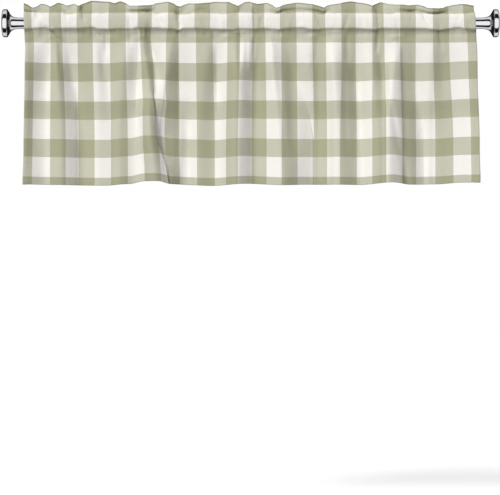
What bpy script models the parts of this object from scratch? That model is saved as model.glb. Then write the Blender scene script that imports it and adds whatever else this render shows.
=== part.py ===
"""A gathered window valance on its curtain rod: one cloth, a round rod and two turned finials.

Metres, +Z up. The origin is the middle of the rod, on its axis. +X runs along the rod and
the cloth's front faces -Y.
"""

import math
from functools import partial

import bmesh
import bpy
from mathutils import Vector

MM = 0.001

# Rod and finials
ROD_RADIUS = 12.7 * MM
ROD_SIDES = 32
ROD_HALF_LENGTH = 579.0 * MM
FIT_GAP = 0.3 * MM
FINIAL_FACE = 631.2 * MM
FINIAL_STEPS = 32
SOCKET_RADIUS = ROD_RADIUS + FIT_GAP
SLEEVE_RADIUS = 14.3 * MM
SLEEVE_END = 564.5 * MM

# Finial outline from its outer face to the sleeve's end.
# Columns: distance from the face, radius.
FINIAL_OUTLINE = (
    (0.0, 0.0),
    (0.2, 14.0),
    (1.0, 24.0),
    (2.6, 30.5),
    (5.2, 34.0),
    (8.2, 35.5),
    (11.2, 34.8),
    (13.4, 32.6),
    (14.2, 30.9),
    (15.6, 30.9),
    (16.4, 32.0),
    (18.2, 29.4),
    (21.0, 24.6),
    (25.0, 20.4),
    (30.0, 17.2),
    (36.0, 15.2),
    (42.0, 14.3),
)

# Cloth
CLOTH_WIDTH = 1448.0
CLOTH_THICKNESS = 1.2 * MM
HEM_THICKNESS = 2.2 * MM
SIDE_HEM = 14.0
COLUMN_PITCH = 18.0
LAYER_GAP = 2.4 * MM
# Rise of the fold at the ruffle's edge above its two layers
FOLD_ROUND = 0.9 * MM

# Heights above the rod's axis, in millimetres
UPPER_SEAM = 27.4
LOWER_SEAM = -17.0
HEM_EDGE = -409.0
HEM_TOP = -393.0
TAIL_DROP = 8.0
# Rows of the hanging panel between its hem and the lower seam
PANEL_ROWS = (HEM_EDGE, HEM_TOP, -362.0, -322.0, -268.0, -212.0, -158.0, -110.0, -74.0, -48.0, -30.0)

# Pocket around the rod
POCKET_RADIUS = ROD_RADIUS + 0.9 * MM + CLOTH_THICKNESS / 2
POCKET_MOUTH_RADIUS = SLEEVE_RADIUS + 2.0 * MM + CLOTH_THICKNESS / 2
POCKET_MOUTH_DEPTH = 30.0
POCKET_RUCK = 3.0 * MM
# Cosine of the angle from a seam beyond which the pocket follows the rod and not the seam
SEAM_GRIP = 0.85
# Angles down the front of the pocket, from straight up
POCKET_ANGLES = (60.0, 90.0, 118.0, 146.0)

# Folds. Cloth runs along the flat width from the left edge, hung is the place across the
# window from the middle, and crests and valleys alternate from the left edge, a crest.
# Columns: cloth at the rod, hung at the rod, cloth at the hem, hung at the hem.
FOLD_LINES = (
    (0, -573, 0, -579),
    (62, -517, 62, -520),
    (95, -494, 106, -480),
    (126, -474, 173, -436),
    (228, -390, 231, -383),
    (255, -367, 264, -357),
    (314, -316, 281, -342),
    (342, -296, 314, -311),
    (375, -273, 381, -250),
    (410, -253, 446, -220),
    (460, -212, 461, -207),
    (507, -182, 514, -174),
    (583, -116, 565, -128),
    (617, -85, 601, -93),
    (677, -42, 693, -37),
    (753, 9, 753, 4),
    (820, 57, 847, 83),
    (852, 83, 891, 119),
    (922, 141, 900, 128),
    (955, 166, 944, 164),
    (1036, 227, 1040, 227),
    (1078, 260, 1083, 268),
    (1129, 304, 1133, 309),
    (1170, 329, 1190, 352),
    (1212, 362, 1209, 367),
    (1267, 408, 1276, 423),
    (1315, 451, 1295, 441),
    (1343, 476, 1328, 474),
    (1448, 572, 1448, 583),
)
FOLD_DEPTH_SHARE = 0.56
HEADING_DEPTH_SHARE = 0.2
FOLD_OPENING = 0.26
FOLD_DRIFT = 0.75
# Each fold hangs about the middle of its neighbours, this many fold lines each way
PLUMB_REACH = 4
PLUMB_SHARE = 0.8

# Ruffled edge above the rod. Columns: hung place, height above the axis, lean to the front.
RUFFLES = (
    (-575, 51, 0),
    (-552, 42, 3),
    (-530, 50, 0),
    (-507, 44, 4),
    (-488, 52, -3),
    (-469, 48, 3),
    (-448, 50, -2),
    (-438, 47, 3),
    (-403, 57, 0),
    (-362, 55, 2),
    (-331, 57, 0),
    (-306, 44, 10),
    (-255, 45, 10),
    (-210, 55, 0),
    (-179, 42, 5),
    (-154, 51, -2),
    (-88, 55, 0),
    (-34, 45, 5),
    (-4, 55, -1),
    (17, 49, 4),
    (37, 52, -2),
    (67, 40, 8),
    (105, 51, 8),
    (156, 48, 9),
    (187, 39, 8),
    (222, 49, -1),
    (255, 56, 0),
    (309, 44, 5),
    (331, 54, -2),
    (370, 47, 9),
    (400, 45, 9),
    (423, 47, 9),
    (453, 35, 10),
    (476, 33, 8),
    (507, 45, -2),
    (537, 49, 1),
    (565, 46, 3),
)

# Lift of the cloth above level. Columns: hung place, lift at the rod, lift at the hem.
LIFTS = (
    (-580, 0, 0),
    (-440, -1, -2),
    (-370, -2, -3),
    (-310, 1, 1),
    (-270, 3, 8),
    (-235, 2, 8),
    (-200, 0, 1),
    (-100, -1, -3),
    (0, 1, 2),
    (80, 1, -2),
    (150, 0, 0),
    (280, 0, -1),
    (360, 1, 5),
    (410, 0, 0),
    (470, 0, 1),
    (540, 4, 5),
    (585, 5, 5),
)


def smooth(t):
    t = min(1.0, max(0.0, t))
    return t * t * (3.0 - 2.0 * t)


def mix(a, b, t):
    return a + (b - a) * t


def read_table(table, place, column):
    """Value of a column at a place in the first column, eased between rows."""
    if place <= table[0][0]:
        return table[0][column]
    for low, high in zip(table, table[1:]):
        if place <= high[0]:
            return mix(low[column], high[column], smooth((place - low[0]) / (high[0] - low[0])))
    return table[-1][column]


def fold_depths(drift):
    """How far back each fold line lies, in millimetres, with the cloth hanging plumb."""
    depths = [0.0]
    for index, (row, after) in enumerate(zip(FOLD_LINES, FOLD_LINES[1:])):
        cloth = mix(after[0] - row[0], after[2] - row[2], drift)
        shown = mix(after[1] - row[1], after[3] - row[3], drift)
        step = FOLD_DEPTH_SHARE * math.sqrt(max(0.0, cloth**2 - shown**2))
        depths.append(depths[-1] + (step if index % 2 == 0 else -step))
    plumb = []
    for index, depth in enumerate(depths):
        near = depths[max(0, index - PLUMB_REACH) : index + PLUMB_REACH + 1]
        plumb.append(depth - PLUMB_SHARE * sum(near) / len(near))
    middle = (max(plumb) + min(plumb)) / 2
    return [depth - middle for depth in plumb]


def column_places():
    """Fold line number and share of the way to the next, for each column of the cloth."""
    places = []
    for index, (row, after) in enumerate(zip(FOLD_LINES, FOLD_LINES[1:])):
        steps = max(2, round((after[0] - row[0]) / COLUMN_PITCH))
        places += [(index, step / steps) for step in range(steps)]
    places.append((len(FOLD_LINES) - 2, 1.0))
    return places


def share_down(height):
    return (LOWER_SEAM - height) / (LOWER_SEAM - HEM_EDGE)


def hung_place(place, drift):
    index, share = place
    row, after = FOLD_LINES[index], FOLD_LINES[index + 1]
    return mix(mix(row[1], after[1], share), mix(row[3], after[3], share), drift)


def relief(place, drift):
    index, share = place
    depths = fold_depths(drift)
    return mix(depths[index], depths[index + 1], smooth(share))


def near_side_edge(place):
    index, share = place
    cloth = mix(FOLD_LINES[index][0], FOLD_LINES[index + 1][0], share)
    return min(cloth, CLOTH_WIDTH - cloth) < SIDE_HEM


def ruck(place):
    """1 on a crest and 0 in a valley."""
    index, share = place
    return smooth(share if index % 2 else 1.0 - share)


def heading_depth(place):
    return HEADING_DEPTH_SHARE * relief(place, 0.0)


def panel_point(place, height):
    """A point of the cloth below the pocket."""
    down = share_down(height)
    drift = smooth(down / FOLD_DRIFT)
    across = hung_place(place, drift)
    depth = relief(place, drift) * mix(HEADING_DEPTH_SHARE, 1.0, smooth(down / FOLD_OPENING))
    lift = mix(read_table(LIFTS, across, 1), read_table(LIFTS, across, 2), smooth(down))
    lift *= smooth(down / FOLD_OPENING)
    return Vector((across, depth, height + lift)) * MM


def pocket_point(place, angle, side):
    """A point of the pocket: side is -1 in front of the rod and 1 behind it."""
    across = hung_place(place, 0.0)
    edge = min(across - FOLD_LINES[0][1], FOLD_LINES[-1][1] - across)
    mouth = 1.0 - smooth(edge / POCKET_MOUTH_DEPTH)
    radius = mix(POCKET_RADIUS, POCKET_MOUTH_RADIUS, mouth)
    turn = math.radians(angle)
    upper_touch = math.acos(radius / (UPPER_SEAM * MM))
    lower_touch = math.pi - math.acos(radius / (-LOWER_SEAM * MM))
    reach = radius
    if turn < upper_touch:
        reach = radius / math.cos(upper_touch - turn)
    elif turn > lower_touch:
        reach = radius / math.cos(turn - lower_touch)
    reach += POCKET_RUCK * ruck(place) * math.sin(turn) ** 2
    near_seam = smooth((abs(math.cos(turn)) - SEAM_GRIP) / (1.0 - SEAM_GRIP))
    depth = side * (reach * math.sin(turn) + near_seam * LAYER_GAP / 2)
    depth += near_seam * heading_depth(place) * MM
    return Vector((across * MM, depth, reach * math.cos(turn)))


def header_point(place, share, side):
    """A point of the ruffled edge: side is -1 on the front layer, 0 on the fold."""
    across = hung_place(place, 0.0)
    top = read_table(RUFFLES, across, 1) - (FOLD_ROUND + CLOTH_THICKNESS / 2) / MM
    lean = read_table(RUFFLES, across, 2)
    middle = Vector((across, heading_depth(place) - lean * share**2, mix(UPPER_SEAM, top, share))) * MM
    along = Vector((0.0, -2.0 * share * lean, top - UPPER_SEAM)).normalized()
    if side == 0:
        return middle + FOLD_ROUND * along
    outward = Vector((0.0, along.z, -along.y))
    return middle + side * LAYER_GAP / 2 * outward


def tail_point(place, height):
    """A point of the cloth's turned-in end, which hangs behind the panel."""
    return panel_point(place, height) + Vector((0.0, LAYER_GAP, 0.0))


def cloth_rows():
    """One function a row, from the front hem over the rod to the tail behind the pocket."""
    rows = [partial(panel_point, height=height) for height in PANEL_ROWS]
    down = (0.0, *POCKET_ANGLES, 180.0)
    rows += [partial(pocket_point, angle=angle, side=-1) for angle in reversed(down)]
    for share, side in ((0.5, -1), (1.0, -1), (1.0, 0), (1.0, 1), (0.5, 1)):
        rows.append(partial(header_point, share=share, side=side))
    rows += [partial(pocket_point, angle=angle, side=1) for angle in down]
    rows.append(partial(tail_point, height=LOWER_SEAM - TAIL_DROP))
    return rows


def paint(name, colour, roughness, metallic=0.0):
    material = bpy.data.materials.new(name)
    material.use_nodes = True
    shader = material.node_tree.nodes["Principled BSDF"]
    shader.inputs["Base Color"].default_value = (*colour, 1.0)
    shader.inputs["Roughness"].default_value = roughness
    shader.inputs["Metallic"].default_value = metallic
    material.diffuse_color = (*colour, 1.0)
    return material


def add_object(name, mesh, material, collection):
    mesh.materials.append(material)
    thing = bpy.data.objects.new(name, mesh)
    collection.objects.link(thing)
    return thing


def make_valance(collection):
    """The cloth: one sheet laid on its folds, thicker at the hems."""
    places = column_places()
    rows = cloth_rows()
    mesh = bpy.data.meshes.new("valance")
    shape = bmesh.new()
    bmesh.ops.create_grid(shape, x_segments=len(places) - 1, y_segments=len(rows) - 1, size=1.0)
    shape.verts.index_update()
    order = sorted(shape.verts, key=lambda vert: (round(vert.co.y, 6), round(vert.co.x, 6)))
    hem_points = []
    for number, vert in enumerate(order):
        row, column = divmod(number, len(places))
        if row <= PANEL_ROWS.index(HEM_TOP) or near_side_edge(places[column]):
            hem_points.append(vert.index)
        vert.co = rows[row](places[column])
    shape.to_mesh(mesh)
    shape.free()
    cloth = add_object("valance", mesh, paint("checked cotton", (0.62, 0.62, 0.47), 0.85), collection)
    cloth.vertex_groups.new(name="hems").add(hem_points, 1.0, "REPLACE")
    solidify = cloth.modifiers.new("thickness", "SOLIDIFY")
    solidify.thickness = HEM_THICKNESS
    solidify.offset = 0.0
    solidify.vertex_group = "hems"
    solidify.thickness_vertex_group = CLOTH_THICKNESS / HEM_THICKNESS
    mesh.shade_smooth()


def make_rod(collection, metal):
    bpy.ops.mesh.primitive_cylinder_add(
        vertices=ROD_SIDES, radius=ROD_RADIUS, depth=2 * ROD_HALF_LENGTH, rotation=(0.0, math.pi / 2, 0.0)
    )
    rod = bpy.context.object
    rod.name = rod.data.name = "rod"
    rod.data.materials.append(metal)
    for owner in rod.users_collection:
        owner.objects.unlink(rod)
    collection.objects.link(rod)
    rod.data.set_sharp_from_angle(angle=math.radians(40.0))


def make_finial(name, side, collection, metal):
    """A button with a trumpet neck that sleeves over the rod's end."""
    sleeve_length = FINIAL_FACE - SLEEVE_END
    socket_floor = FINIAL_FACE - ROD_HALF_LENGTH - FIT_GAP
    outline = [(radius * MM, -distance * MM) for distance, radius in FINIAL_OUTLINE]
    outline.append((SLEEVE_RADIUS, -sleeve_length))
    outline.append((SOCKET_RADIUS, -sleeve_length))
    outline.append((SOCKET_RADIUS, -socket_floor))
    outline.append((0.0, -socket_floor))
    mesh = bpy.data.meshes.new(name)
    points = [(radius, 0.0, height) for radius, height in outline]
    mesh.from_pydata(points, [(i, i + 1) for i in range(len(points) - 1)], [])
    finial = add_object(name, mesh, metal, collection)
    finial.location = (side * FINIAL_FACE, 0.0, 0.0)
    finial.rotation_euler = (0.0, side * math.pi / 2, 0.0)
    turn = finial.modifiers.new("turned", "SCREW")
    turn.axis = "Z"
    turn.steps = FINIAL_STEPS
    turn.render_steps = FINIAL_STEPS
    turn.use_merge_vertices = True
    turn.merge_threshold = 0.00005
    turn.use_smooth_shade = True


def main():
    for thing in list(bpy.data.objects):
        bpy.data.objects.remove(thing, do_unlink=True)
    collection = bpy.data.collections.new("window_valance")
    bpy.context.scene.collection.children.link(collection)
    make_valance(collection)
    metal = paint("polished metal", (0.78, 0.78, 0.80), 0.12, 1.0)
    make_rod(collection, metal)
    make_finial("finial_left", -1, collection, metal)
    make_finial("finial_right", 1, collection, metal)


main()
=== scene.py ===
import math
import bmesh
import bpy
import numpy as np
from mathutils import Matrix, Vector


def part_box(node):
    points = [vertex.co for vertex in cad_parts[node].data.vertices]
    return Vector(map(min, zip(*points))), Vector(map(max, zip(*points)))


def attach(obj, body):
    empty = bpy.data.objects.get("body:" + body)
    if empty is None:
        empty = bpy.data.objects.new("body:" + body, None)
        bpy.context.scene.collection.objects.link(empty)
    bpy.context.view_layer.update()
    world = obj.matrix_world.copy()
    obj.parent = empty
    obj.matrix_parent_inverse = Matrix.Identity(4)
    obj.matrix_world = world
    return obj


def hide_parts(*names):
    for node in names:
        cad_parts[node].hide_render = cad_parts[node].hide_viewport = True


# A gathered checked valance on a curtain rod. Values and tables are in millimetres, meshes in metres.
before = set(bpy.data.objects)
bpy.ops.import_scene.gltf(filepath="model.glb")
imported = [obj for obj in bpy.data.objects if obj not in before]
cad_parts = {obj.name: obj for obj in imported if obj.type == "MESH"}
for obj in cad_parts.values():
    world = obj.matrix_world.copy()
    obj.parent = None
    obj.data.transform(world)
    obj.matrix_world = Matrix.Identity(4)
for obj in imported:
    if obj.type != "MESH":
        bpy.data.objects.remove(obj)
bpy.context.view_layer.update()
mm = 0.001


def smooth(t):
    t = np.clip(t, 0.0, 1.0)
    return t * t * (3.0 - 2.0 * t)


def mix(a, b, t):
    return a + (b - a) * t


def readTable(table, places, column, ease=1.0):  # between rows: straight at ease 0, rounded at 1
    rows = np.array(table, float)
    if rows[0, 0] > rows[-1, 0]:
        rows = rows[::-1]
    seat = np.clip(np.searchsorted(rows[:, 0], places) - 1, 0, len(rows) - 2)
    share = np.clip((places - rows[seat, 0]) / (rows[seat + 1, 0] - rows[seat, 0]), 0.0, 1.0)
    return mix(rows[seat, column], rows[seat + 1, column], mix(share, smooth(share), ease))


def easedLine(points, steps):  # a smooth line through every point
    points = np.array(points, float)
    ends = np.vstack([2 * points[0] - points[1], points, 2 * points[-1] - points[-2]])
    eased = []
    for i in range(1, len(points)):
        a, b, c, d = ends[i - 1 : i + 3]
        for step in range(steps):
            t = step / steps
            bend = (2 * a - 5 * b + 4 * c - d) * t**2 + (3 * b - a - 3 * c + d) * t**3
            eased.append(0.5 * (2 * b + (c - a) * t + bend))
    return np.array(eased + [points[-1]])


def newMaterial(name):
    material = bpy.data.materials.new(name)
    material.use_nodes = True
    return material, material.node_tree.nodes["Principled BSDF"]


def mathNode(tree, operation, *values):  # a value is a number or another node's output
    node = tree.nodes.new("ShaderNodeMath")
    node.operation = operation
    for socket, value in zip(node.inputs, values):
        if isinstance(value, (int, float)):
            socket.default_value = value
        else:
            tree.links.new(value, socket)
    return node.outputs[0]


def mixNode(tree, blend, factor, first, second):
    node = tree.nodes.new("ShaderNodeMix")
    node.data_type = "RGBA"
    node.blend_type = blend
    for socket, value in zip((node.inputs[0], node.inputs[6], node.inputs[7]), (factor, first, second)):
        if isinstance(value, (int, float, tuple)):
            socket.default_value = value
        else:
            tree.links.new(value, socket)
    return node.outputs[2]


def noiseNode(tree, vector, stretch, detail=2.0, roughness=0.5):  # stretch: repeats a metre each way
    mapping = tree.nodes.new("ShaderNodeMapping")
    mapping.inputs["Scale"].default_value = stretch
    tree.links.new(vector, mapping.inputs["Vector"])
    noise = tree.nodes.new("ShaderNodeTexNoise")
    noise.inputs["Scale"].default_value = 1.0
    noise.inputs["Detail"].default_value = detail
    noise.inputs["Roughness"].default_value = roughness
    tree.links.new(mapping.outputs[0], noise.inputs["Vector"])
    return noise.outputs[0]


def bumpNode(tree, height, strength, distance, under=None):
    bump = tree.nodes.new("ShaderNodeBump")
    bump.inputs["Strength"].default_value = strength
    bump.inputs["Distance"].default_value = distance
    tree.links.new(height, bump.inputs["Height"])
    if under is not None:
        tree.links.new(under, bump.inputs["Normal"])
    return bump.outputs[0]


def greyNode(tree, tone):
    grey = tree.nodes.new("ShaderNodeCombineColor")
    for socket in grey.inputs:
        tree.links.new(tone, socket)
    return grey.outputs[0]


def linkObject(name, mesh):
    thing = bpy.data.objects.new(name, mesh)
    bpy.context.scene.collection.objects.link(thing)
    return thing


# studio: pale floor, one soft light from the upper left, a long lens looking straight on
studio = {
    "imageWidth": 500,
    "pixel": 2.54,  # of the object
    "middle": (-1.3, -569.5),  # what the lens looks at, across and up
    "lens": 180.0,
    "sensor": 36.0,
    "clipEnd": 100.0,  # in metres
    "floorHeight": -1310.0,
    "floorSize": 30000.0,
    "floorColour": (0.9, 0.9, 0.89, 1.0),
    "floorGlow": (1.0, 1.0, 0.99, 1.0),
    "floorGlowStrength": 0.4,
    "floorRoughness": 0.9,
    "keyTurn": 25.0,  # degrees to the left of the lens
    "keyRise": 30.0,
    "keySpread": 14.0,
    "keyStrength": 2.82,
    "keyColour": (1.0, 0.99, 0.945),
    "fillStrength": 0.338,
    "fillColour": (0.965, 0.945, 1.0, 1.0),
    "backFill": 1.6,  # how much more of it comes from behind
    "backdrop": (1.0, 1.0, 1.0, 1.0),
    "underShift": 0.4,  # how much further the bands reach round underneath
    "endStart": 0.875,  # of straight sideways, where the bands fade to one plain dark
    "endFade": 0.125,
    "endColour": (0.2, 0.2, 0.205, 1.0),
}

# what polished metal sees: place, from behind (0) over the top or under (0.5) to straight ahead (1),
# and how bright it is
studioBands = (
    (0.0, 0.02),
    (0.11, 0.04),
    (0.17, 0.36),
    (0.25, 0.66),
    (0.48, 0.82),
    (0.575, 0.7),
    (0.625, 0.01),
    (0.885, 0.01),
    (0.925, 1.0),
    (1.0, 1.0),
)


def buildWorld():
    world = bpy.data.worlds.new("studioWorld")
    bpy.context.scene.world = world
    world.use_nodes = True
    tree = world.node_tree
    tree.nodes.clear()
    look = tree.nodes.new("ShaderNodeTexCoord").outputs["Generated"]
    parts = tree.nodes.new("ShaderNodeSeparateXYZ")
    tree.links.new(look, parts.inputs[0])
    sideways, away, upward = parts.outputs
    awaySquare, upwardSquare = (mathNode(tree, "POWER", part, 2.0) for part in (away, upward))
    square = mathNode(tree, "ADD", awaySquare, upwardSquare)
    reach = mathNode(tree, "SQRT", mathNode(tree, "ADD", square, 0.0001))  # never quite nothing
    ahead = mathNode(tree, "DIVIDE", mathNode(tree, "MULTIPLY", away, -1.0), reach)
    ramp = tree.nodes.new("ShaderNodeValToRGB")
    for band in studioBands[1:-1]:
        ramp.color_ramp.elements.new(band[0])
    for stop, (place, grey) in zip(ramp.color_ramp.elements, studioBands):
        stop.position = place
        stop.color = (grey, grey, grey, 1.0)
    turned = mathNode(tree, "MULTIPLY_ADD", ahead, 0.5, 0.5)  # from behind (0) to ahead (1)
    below = mathNode(tree, "MULTIPLY", mathNode(tree, "LESS_THAN", upward, 0.0), turned)
    shift = mathNode(tree, "MULTIPLY", below, studio["underShift"])
    wider = mathNode(tree, "MULTIPLY", mathNode(tree, "SUBTRACT", 1.0, turned), shift)
    tree.links.new(mathNode(tree, "ADD", turned, wider), ramp.inputs[0])
    fade = studio["endFade"]
    sideReach = mathNode(tree, "ABSOLUTE", sideways)
    ends = mathNode(tree, "MULTIPLY_ADD", sideReach, 1.0 / fade, -studio["endStart"] / fade)
    ends.node.use_clamp = True
    banded = mixNode(tree, "MIX", ends, ramp.outputs[0], studio["endColour"])

    # metal sees the bands, cloth gets an even fill and the lens sees the backdrop
    rays = tree.nodes.new("ShaderNodeLightPath")
    toLens, toMetal = rays.outputs["Is Camera Ray"], rays.outputs["Is Glossy Ray"]
    lit = mixNode(tree, "MIX", toMetal, studio["fillColour"], banded)
    seen = mixNode(tree, "MIX", toLens, lit, studio["backdrop"])
    behind = mathNode(tree, "MAXIMUM", away, 0.0)
    even = studio["fillStrength"]
    fill = mathNode(tree, "MULTIPLY_ADD", behind, even * studio["backFill"], even)
    strength = mathNode(tree, "MAXIMUM", toLens, mathNode(tree, "MAXIMUM", toMetal, fill))
    background = tree.nodes.new("ShaderNodeBackground")
    tree.links.new(seen, background.inputs["Color"])
    tree.links.new(strength, background.inputs["Strength"])
    output = tree.nodes.new("ShaderNodeOutputWorld")
    tree.links.new(background.outputs[0], output.inputs["Surface"])


def buildStudio():
    scene = bpy.context.scene
    scene.view_settings.view_transform = "Standard"
    camera = linkObject("camera", bpy.data.cameras.new("camera"))
    scene.camera = camera
    camera.data.lens = studio["lens"]
    camera.data.sensor_width = studio["sensor"]
    camera.data.clip_end = studio["clipEnd"]
    distance = studio["imageWidth"] * studio["pixel"] * studio["lens"] / studio["sensor"]
    across, up = studio["middle"]
    camera.location = (across * mm, -distance * mm, up * mm)
    camera.rotation_euler = (math.pi / 2, 0.0, 0.0)

    turn, rise = math.radians(studio["keyTurn"]), math.radians(studio["keyRise"])
    level = math.cos(rise)
    toLight = Vector((-math.sin(turn) * level, -math.cos(turn) * level, math.sin(rise)))
    key = linkObject("keyLight", bpy.data.lights.new("keyLight", "SUN"))
    key.data.energy = studio["keyStrength"]
    key.data.color = studio["keyColour"]
    key.data.angle = math.radians(studio["keySpread"])
    key.rotation_euler = toLight.to_track_quat("Z", "Y").to_euler()
    key.visible_glossy = False
    buildWorld()

    middle = (0.0, 0.0, studio["floorHeight"] * mm)
    bpy.ops.mesh.primitive_plane_add(size=studio["floorSize"] * mm, location=middle)
    floor = bpy.context.object
    floor.name = "floor"
    floor.visible_glossy = False
    floor.visible_diffuse = False
    paint, shader = newMaterial("paleFloor")
    shader.inputs["Base Color"].default_value = studio["floorColour"]
    shader.inputs["Emission Color"].default_value = studio["floorGlow"]
    shader.inputs["Emission Strength"].default_value = studio["floorGlowStrength"]
    shader.inputs["Roughness"].default_value = studio["floorRoughness"]
    floor.data.materials.append(paint)


buildStudio()
print("studio ready")

# the cloth, laid on its folds from the turned-up hem, up the front, over the rod and down behind it
valance = {
    "columnPitch": 4.15,  # of flat cloth
    "leastColumns": 6,  # in each flank of a fold
    "thickness": 0.8,
    "hemThickness": 1.7,  # side hems, folded inside themselves
    "sideHem": 14.0,
    "edgeReach": 30.0,  # how far in from each side its line is bent
    "layerGap": 1.5,  # between the middles of two layers
    "upperSeam": 27.4,
    "lowerSeam": -25.5,
    "seamForward": 10.5,  # in front of the rod's axis, where the panel leaves the lower seam
    "seamFade": 230.0,  # further down, where it hangs under the axis
    "hemEdge": -409.0,
    "hemHeight": 17.0,
    "hemGap": 1.5,
    "hemTuck": (1.5, 4.0),  # the raw edge inside the hem: how far down, how much more cloth
    "hemBackRows": (1.2, 4),  # down the back of the hem: lowest, how many
    "hemTurn": ((0.3, 0.8, 0.85), (0.0, 0.3, 0.5), (0.3, -0.3, 0.15)),  # up, more cloth, gap's share
    "hemSeamRows": (10, 2),  # rows that its stitches follow, in front and behind
    "hemRows": (1.5, 26.0, 6),  # above the hem's edge: from, to, how many
    "panelRows": (36.0, 62.0, 28),  # from above the hem's edge to below the lower seam
    "topRows": (55.0, 1.5, 15),  # below the lower seam
    "takeUp": 5.8,  # cloth gathered into the lower seam
    "takeUpHeight": 13.0,  # below the seam, over which it spreads
    "puffHeight": (24.0, 7.0, 23.0, 1.0),  # under the lower seam: middle, swing, length and start
    "puffTongues": (0.0, 1.0, 15.0, 2.0),
    "puffPatches": (0.6, 0.4, 47.0, 0.6),
    "puffDepth": (0.1, 1.9),  # everywhere, in a tongue
    "puckerWaves": ((2.35, 1.6, 13.0, 0.0), (3.9, 2.1, 31.0, 1.0)),  # length, then how they bunch
    "puckerPatches": (0.55, 0.45, 27.0),  # middle, swing and length
    "puckerDrift": (0.0, 1.4, 61.0),  # the same, of where the patches start
    # seam, how far above it, reach and strength
    "puckerSeams": (("upperSeam", 0.0, 7.0, 0.75), ("lowerSeam", 1.0, 11.0, 1.25)),
    "pocketLength": 66.0,  # cloth from seam to seam, round the rod
    "pocketLeast": 13.8,  # never nearer to the rod's axis
    "pocketRows": (19, 11),  # in front, behind
    "pocketSteps": 12,  # between two points of its section
    "pocketRuck": 1.8,  # how far its folds stand out from the rod
    "ruckHeight": 30.0,  # above the axis, where slack lifts cloth as far as it pushes it out
    "seamGrip": 0.2,  # of the pocket's length, where a seam holds its folds
    "sagShare": 0.4,  # of its length, over which the upper seam's sag fades
    "shiftShare": 0.3,  # of its length, over which the lower seam takes back the shift
    "dropPlace": (0.78, 0.15),  # where its slack drops, middle and reach
    "backTucks": -0.6,  # behind, creases run the other way and shallower
    "mouthPush": 2.4,  # wider at both open ends
    "mouthDepth": 30.0,  # in from the ends, until it is as wide as the rest
    "ruffleLength": 30.0,  # of cloth, from the upper seam to the top edge
    "ruffleHeight": 24.0,  # in the creases' table, whatever its own height at a place
    "ruffleRows": 10,
    "rufflePuff": 0.8,  # how much further its layers part half way up
    "ruffleFold": 3.0,  # cloth round its top edge
    "ruffleTurn": (50.0, 1.2),  # degrees to each side of the top edge, cloth that goes with them
    "ruffleLean": 12.0,  # of its length, until it leans fully
    "ruffleLeast": 4.0,  # high, once bent
    "ruffleSquash": (0.35, 1.25),  # least and most, to meet its height in the table
    "buckleHeight": 13.5,  # up its length
    "buckleReach": 3.6,  # above and below that
    "tailDrops": (3.0, 8.0),  # turned in behind, below the lower seam
    "depthShare": 0.74,  # of the depth that a fold's spare cloth allows
    "headingShare": 0.2,  # of a fold's depth, left at the rod
    "foldOpening": 0.26,  # of the drop, where folds have their full depth
    "foldDrift": 0.75,  # of the drop, where they have their places at the hem
    "plumbReach": 84.0,  # how far to each side the folds' depths are levelled, to hang plumb
    "plumbShare": 0.97,  # how much of their lean is taken out
    "plumbPlaces": 90,  # where it is measured
    "crestRounding": 10,  # how often each column takes up the mean of its neighbours
    "paceSteps": 41,  # across a flank, where its cloth is measured
    "creaseMargin": 6.0,  # how far a crease runs on past its ends
    "creaseFade": (14.0, 90.0, 0.4),  # how softly it ends: least, most, share of its height
}

# crests and valleys in turn from the left edge, a crest
# cloth at the rod, hung at the rod, cloth at the hem, hung at the hem
foldLines = (
    (0, -573, 0, -579),
    (66, -513, 62, -520),
    (95, -494, 106, -480),
    (142, -464, 184, -427),
    (228, -390, 231, -383),
    (255, -367, 264, -357),
    (314, -316, 293, -330),
    (352, -288, 331, -296),
    (375, -273, 417, -220),
    (410, -253, 455, -211),
    (477, -199, 462, -206),
    (507, -182, 512, -177),
    (589, -108, 565, -128),
    (622, -80, 601, -93),
    (694, -31, 698, -34),
    (765, 16, 762, 13),
    (815, 52, 850, 83),
    (860, 90, 941, 160),
    (932, 149, 947, 166),
    (963, 171, 957, 174),
    (1016, 212, 1036, 224),
    (1084, 265, 1096, 280),
    (1129, 304, 1147, 319),
    (1177, 335, 1170, 337),
    (1216, 366, 1186, 346),
    (1267, 408, 1298, 440),
    (1322, 457, 1312, 456),
    (1356, 485, 1357, 499),
    (1448, 572, 1448, 583),
)

# how much deeper or shallower the folds from these lines to the next lie, at the rod and at the hem
foldShares = {
    0: (2.0, 2.0),
    2: (1.15, 1.1),
    4: (1.15, 0.15),
    6: (1.15, 1.25),
    7: (1.0, 0.2),
    10: (1.0, 1.7),
    11: (1.0, 0.1),
    12: (1.35, 1.1),
    16: (1.4, 1.5),
    17: (0.5, 0.0),
    18: (1.0, 0.2),
    20: (1.9, 1.45),
    22: (0.9, 0.4),
    24: (1.2, 2.4),
    25: (1.0, 0.0),
}

# flanks that slope more evenly from crest to valley, instead of rounding into both
evenFlanks = {2: 0.5, 6: 0.5, 10: 0.75, 12: 0.6, 14: 0.6, 16: 1.0, 20: 0.7, 24: 0.6}

# the one fold that rolls over itself on its way down: height, cloth and hung place of its crest, its
# valley and the next crest, how far the crest overhangs, drop to the valley and on to the next crest
rollingFold = (
    (-25, 375, -273, 410, -253, 477, -199, 0, 25, -24),
    (-110, 378, -264, 420, -241, 466, -210, 0, 27, -22),
    (-172, 385, -256, 420, -238.5, 458, -217, 0, 20, 5),
    (-205, 388, -251.5, 420, -241, 450, -221, 4, 13, 11),
    (-240, 391, -252, 430, -242, 449, -226, 8.5, 10, 11),
    (-289, 392, -251, 433, -242, 447, -230, 10.5, 11, 8),
    (-314, 398, -246, 438, -236, 449, -226, 10.5, 11, 8),
    (-345, 406, -235, 446, -226, 456, -219, 10.5, 11, 7),
    (-367, 412, -227, 452, -218, 460, -211, 10, 10, 5),
    (-409, 417, -220, 455, -211, 462, -206, 9, 9, 4),
)

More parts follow.
